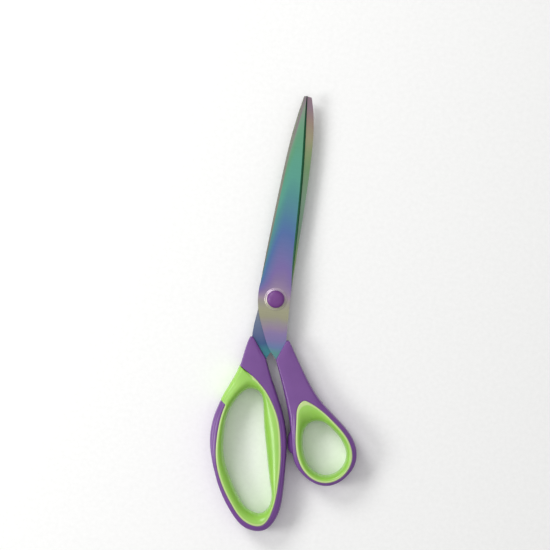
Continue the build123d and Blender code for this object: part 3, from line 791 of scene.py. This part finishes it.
def coated_steel(name, coat, back, edge, lag_back, lag_edge, strip=0.0):
    """Ground steel under an interference coating, whose colour runs along the blade and lags at its sides.

    back and edge are x, in millimetres from the pivot, of the blade's two sides at the root and the tip.
    strip is how strongly the strip along the cutting edge has its own, greener colours.
    """
    m = Shader(name, Metallic=1.0, Roughness=0.32)
    local = m.vector("SUBTRACT", m.place, tuple(PIVOT))
    x, y, _ = m.axes(m.vector("MULTIPLY", local, (1 / MM,) * 3))
    share = m.ranged(y, BLADE_ROOT, BLADE_TIP, smooth=False)
    left = m.math("MULTIPLY_ADD", m.math("POWER", share, 2.2), back[1] - back[0], back[0])
    right = m.math("MULTIPLY_ADD", m.math("POWER", share, 1.9), edge[1] - edge[0], edge[0])
    across = m.math("DIVIDE", m.math("SUBTRACT", x, left), m.math("SUBTRACT", right, left))
    at_back = m.math("POWER", m.ranged(across, 0.5, 0.0, smooth=False), 2.0)
    at_edge = m.math("POWER", m.ranged(across, 0.6, 1.0, smooth=False), 2.0)
    above = m.ranged(y, -2.0, 12.0)
    lag = m.math("MULTIPLY_ADD", at_back, lag_back, m.math("MULTIPLY", at_edge, lag_edge))
    lag = m.math("MULTIPLY", lag, above)
    patchy = m.math("MULTIPLY", m.math("SUBTRACT", m.noise(70.0, 2.5, (1, 0.4, 1)), 0.5), 11.0)
    stage = m.math("ADD", m.math("ADD", y, lag), patchy)
    colour = m.ramp(m.ranged(stage, coat[0][0], coat[-1][0], smooth=False), spread_stops(coat))
    if strip:
        place = m.ranged(m.math("ADD", y, patchy), EDGE_STRIP[0][0], EDGE_STRIP[-1][0], smooth=False)
        green = m.ramp(place, spread_stops(EDGE_STRIP))
        colour = m.mix(m.math("MULTIPLY", m.ranged(across, 0.62, 0.84, 0.0, strip), above), colour, green)
    nx = m.axes(m.normal)[0]
    tilt = m.ranged(nx, -0.12, -0.3)
    colour = m.mix(m.math("MULTIPLY", tilt, above), colour, STEEP_BACK)
    # The right-facing bevel along the cutting edge, above the pivot, gets a painted dark reflection on the
    # coating's green
    bevel_reflection_mask = m.ranged(nx, 0.3, 0.6)
    colour = m.mix(m.math("MULTIPLY", bevel_reflection_mask, above), colour, BEVEL_DARK_REFLECTION)
    grind = m.noise(900.0, 3.0, (0.12, 2.4, 1))
    colour = m.mix(0.10, colour, grind, "OVERLAY")
    m.to("Base Color", colour)
    satin = m.ranged(grind, 0.3, 0.7, 0.28, 0.4)
    m.to("Roughness", m.math("ADD", satin, m.math("MULTIPLY", tilt, 0.28)))
    m.to("Normal", m.bump(grind, 0.000012, 0.5))
    return m.material


def turning_marks(m, scale):
    """Fine rings about the pivot, and the distance along Y from it."""
    x, y, _ = m.axes(m.vector("SUBTRACT", m.place, tuple(PIVOT)))
    radius = m.math("SQRT", m.math("ADD", m.math("MULTIPLY", x, x), m.math("MULTIPLY", y, y)))
    return m.node("TexNoise", settings={"noise_dimensions": "1D"}, W=radius, Scale=scale, Detail=2.0), y


def plain_steel(name, tint):
    """Turned steel of the screw, the spring washer and the nut."""
    m = Shader(name, Metallic=1.0, Roughness=0.3)
    rings, _ = turning_marks(m, 9000.0)
    m.to("Base Color", m.mix(0.12, tint, rings, "OVERLAY"))
    m.to("Roughness", m.ranged(rings, 0.3, 0.7, 0.24, 0.36))
    m.to("Normal", m.bump(rings, 0.000008, 0.4))
    return m.material


def washer_steel(name):
    """Bright turned steel, a little warmer below the cap than above it."""
    m = Shader(name, Metallic=0.45, Roughness=0.34)
    rings, y = turning_marks(m, 7000.0)
    colour = m.mix(m.ranged(y, 0.005, -0.005), "b5a2b8", "b5b29c")
    m.to("Base Color", m.mix(0.10, colour, rings, "OVERLAY"))
    m.to("Roughness", m.ranged(rings, 0.3, 0.7, 0.32, 0.4))
    m.to("Normal", m.bump(rings, 0.000006, 0.4))
    return m.material


def floor_paint(name):
    """Matt off-white floor."""
    m = Shader(name, Roughness=0.75)
    grain = m.noise(400.0, 3.0)
    m.to("Base Color", m.ramp(grain, [(0.3, "f7f7f6"), (0.7, "fbfbfa")]))
    m.to("Normal", m.bump(grain, 0.00005, 0.2))
    return m.material


# ---------------------------------------------------------------- the pieces

violet = hard_plastic("satin_violet_plastic")
lime = soft_rubber("lime_soft_grip")
cap_violet = cap_plastic("cap_violet_plastic")
thumb_coat = coated_steel("coating_thumb_blade", THUMB_COAT, (-10.4, -2.8), (8.0, -0.9), 42.0, 9.0)
finger_coat = coated_steel(
    "coating_finger_blade", FINGER_COAT, (-9.4, -1.7), (9.4, 1.5), 14.0, 0.0, strip=1.0,
)
ring_steel = washer_steel("washer_steel")
steel = plain_steel("pivot_steel", "a89aa6")

thumb_form = Handle(
    "thumb_handle", "thumb_grip",
    foot=from_pivot(24.8, -56.1), reach=9 * MM, end=from_pivot(12.3, -33.6), half_width=1.0 * MM,
    lug=(radians(150), radians(200)),
)
finger_form = Handle(
    "finger_handle", "finger_grip",
    foot=from_pivot(-5.3, -47.1), reach=6 * MM, end=from_pivot(-6.6, -32.5), half_width=1.0 * MM,
)
# The grip wraps round the finger handle from the spine's left foot to this point of the seam
wrap_shell = slices("finger_grip", MIDDLE_Z)[2]
wrap_top = wrap_shell[wrap_shell[:, 1].argmax()]
wrap_low = wrap_shell[wrap_shell[:, 0].argmin()]
low_on_seam = from_pivot(-19.0, -64.9)
nearest = np.argmin(np.linalg.norm(finger_form.chain - low_on_seam, axis=1))
wrap_end = lengths(finger_form.chain)[nearest]
finger_form.pin(wrap_top, 0)
finger_form.pin(wrap_low, wrap_end)

for name, form, body, end in (
    ("thumb", thumb_form, THUMB, None), ("finger", finger_form, FINGER, wrap_end),
):
    shell = hard_handle(f"{name}_handle_shell", form, violet, end)
    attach(shell, body)
    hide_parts(f"{name}_handle")
    sleeve = soft_grip(f"{name}_grip_sleeve", form, lime, end)
    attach(sleeve, body)
    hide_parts(f"{name}_grip")

for node, flip in (("front_cap", False), ("rear_cap", True)):
    low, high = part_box(node)
    radius = (high.x - low.x) / 2
    tall = high.z - low.z
    cap = lathe(
        node.replace("cap", "domed_cap"), cap_profile(tall, radius), high.z if flip else low.z,
        cap_violet, flip,
    )
    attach(cap, FINGER)
    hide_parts(node)

for node, flip in (("front_washer", False), ("rear_washer", True)):
    low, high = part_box(node)
    profile = washer_profile(high.z - low.z, (high.x - low.x) / 2)
    ring = lathe(f"{node}_ring", profile, high.z if flip else low.z, ring_steel, flip)
    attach(ring, FINGER)
    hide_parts(node)

for node, material in (
    ("thumb_blade", thumb_coat), ("finger_blade", finger_coat), ("pivot_screw", steel),
    ("spring_washer", steel), ("pivot_nut", steel),
):
    mesh = frame["nodes"][node].data
    mesh.materials.clear()
    mesh.materials.append(material)

# ---------------------------------------------------------------- stage, light and camera

VIEW_WIDTH = 320.65 * MM  # at the height of the middle plane
CAMERA_HIGH = 1.4
CAMERA_TURN = radians(9.3)
SENSOR = 36  # the camera's width, in millimetres
FLOOR_HALF = 4.0
WORLD_STRENGTH = 0.36
right = Vector((cos(CAMERA_TURN), sin(CAMERA_TURN), 0))
up = Vector((-sin(CAMERA_TURN), cos(CAMERA_TURN), 0))
middle = Vector((*from_pivot(-2.74, 13.84), MIDDLE_Z))

floor_mesh = bpy.data.meshes.new("floor")
corners = [(x * FLOOR_HALF, y * FLOOR_HALF, 0) for x, y in ((-1, -1), (1, -1), (1, 1), (-1, 1))]
floor_mesh.from_pydata(corners, [], [(0, 1, 2, 3)])
floor = bpy.data.objects.new("floor", floor_mesh)
bpy.context.scene.collection.objects.link(floor)
floor_mesh.materials.append(floor_paint("pale_floor"))


def area_light(name, where, size, watts):
    """A white disc of light that faces the middle of the view."""
    light = bpy.data.lights.new(name, "AREA")
    light.shape, light.size, light.energy = "DISK", size, watts
    lamp = bpy.data.objects.new(name, light)
    lamp.location = where
    lamp.rotation_euler = (middle - Vector(where)).to_track_quat("-Z", "Y").to_euler()
    bpy.context.scene.collection.objects.link(lamp)


area_light("key", middle - right * 0.66 + up * 0.78 + Vector((0, 0, 0.85)), 0.6, 7.4)
area_light("left", middle - right * 1.05 - up * 0.10 + Vector((0, 0, 0.80)), 0.55, 6.6)
area_light("overhead", middle + Vector((0, 0, 1.9)), 2.4, 8.8)

world = bpy.data.worlds.new("soft_white")
bpy.context.scene.world = world
world.use_nodes = True
world.node_tree.nodes["Background"].inputs[0].default_value = (1, 1, 1, 1)
world.node_tree.nodes["Background"].inputs[1].default_value = WORLD_STRENGTH

camera_data = bpy.data.cameras.new("camera")
camera_data.sensor_width = SENSOR
camera_data.lens = SENSOR * CAMERA_HIGH / VIEW_WIDTH
camera = bpy.data.objects.new("camera", camera_data)
camera.matrix_world = Matrix((right, up, Vector((0, 0, 1)))).transposed().to_4x4()
camera.location = middle + Vector((0, 0, CAMERA_HIGH))
bpy.context.scene.collection.objects.link(camera)
bpy.context.scene.camera = camera
bpy.context.scene.view_settings.view_transform = "Standard"
